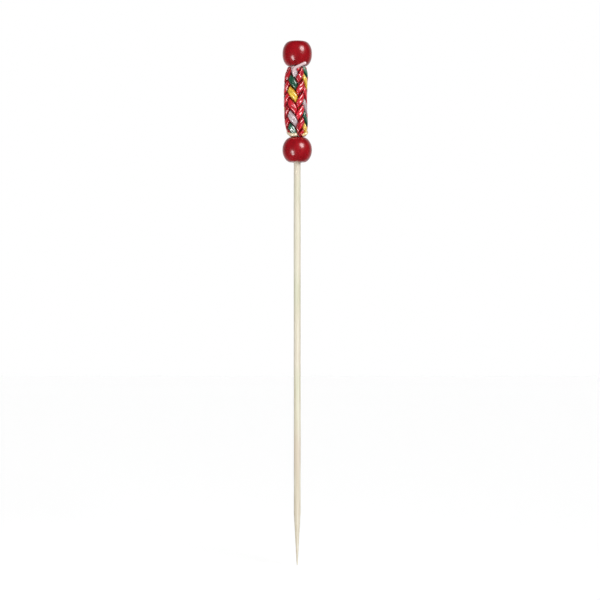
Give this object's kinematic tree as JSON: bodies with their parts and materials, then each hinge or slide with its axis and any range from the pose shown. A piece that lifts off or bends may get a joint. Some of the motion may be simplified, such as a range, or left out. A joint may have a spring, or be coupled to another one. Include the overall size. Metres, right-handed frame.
{
  "type": "bamboo cocktail pick",
  "caption": "Pointed bamboo pick whose head carries two lacquered wooden beads with a braided satin sleeve held between them; it skewers food or garnishes.",
  "frame": {"origin": "the point of the skewer", "axes": "+Z along the skewer from its point to the beads; -Y is the front, where the first column of coloured floats shows"},
  "size_m": [0.0085, 0.0084, 0.15],
  "materials": {
    "bamboo": "bare, sanded, fine lengthwise grain",
    "red_lacquer": "gloss lacquer over turned wood",
    "glue": "clear amber",
    "satin_red": "satin filament yarn",
    "satin_white": "satin filament yarn",
    "satin_green": "satin filament yarn",
    "satin_yellow": "satin filament yarn"
  },
  "bodies": {
    "root": {"skewer": "bamboo", "upper_bead": "red_lacquer", "lower_bead": "red_lacquer", "upper_glue": "glue", "lower_glue": "glue", "white_strand_1": "satin_white", "red_strand": "satin_red", "yellow_strand": "satin_yellow", "green_strand_1": "satin_green", "white_strand_2": "satin_white", "red_strand_2": "satin_red", "yellow_strand_2": "satin_yellow", "green_strand_2": "satin_green", "white_strand_3": "satin_white", "red_strand_3": "satin_red", "yellow_strand_3": "satin_yellow", "green_strand_3": "satin_green", "cross_strand_1": "satin_red", "cross_strand_2": "satin_red", "cross_strand_3": "satin_red", "cross_strand_4": "satin_red", "cross_strand_5": "satin_red", "cross_strand_6": "satin_red", "cross_strand_7": "satin_red", "cross_strand_8": "satin_red", "cross_strand_9": "satin_red", "cross_strand_10": "satin_red", "cross_strand_11": "satin_red", "cross_strand_12": "satin_red"}
  },
  "joints": []
}
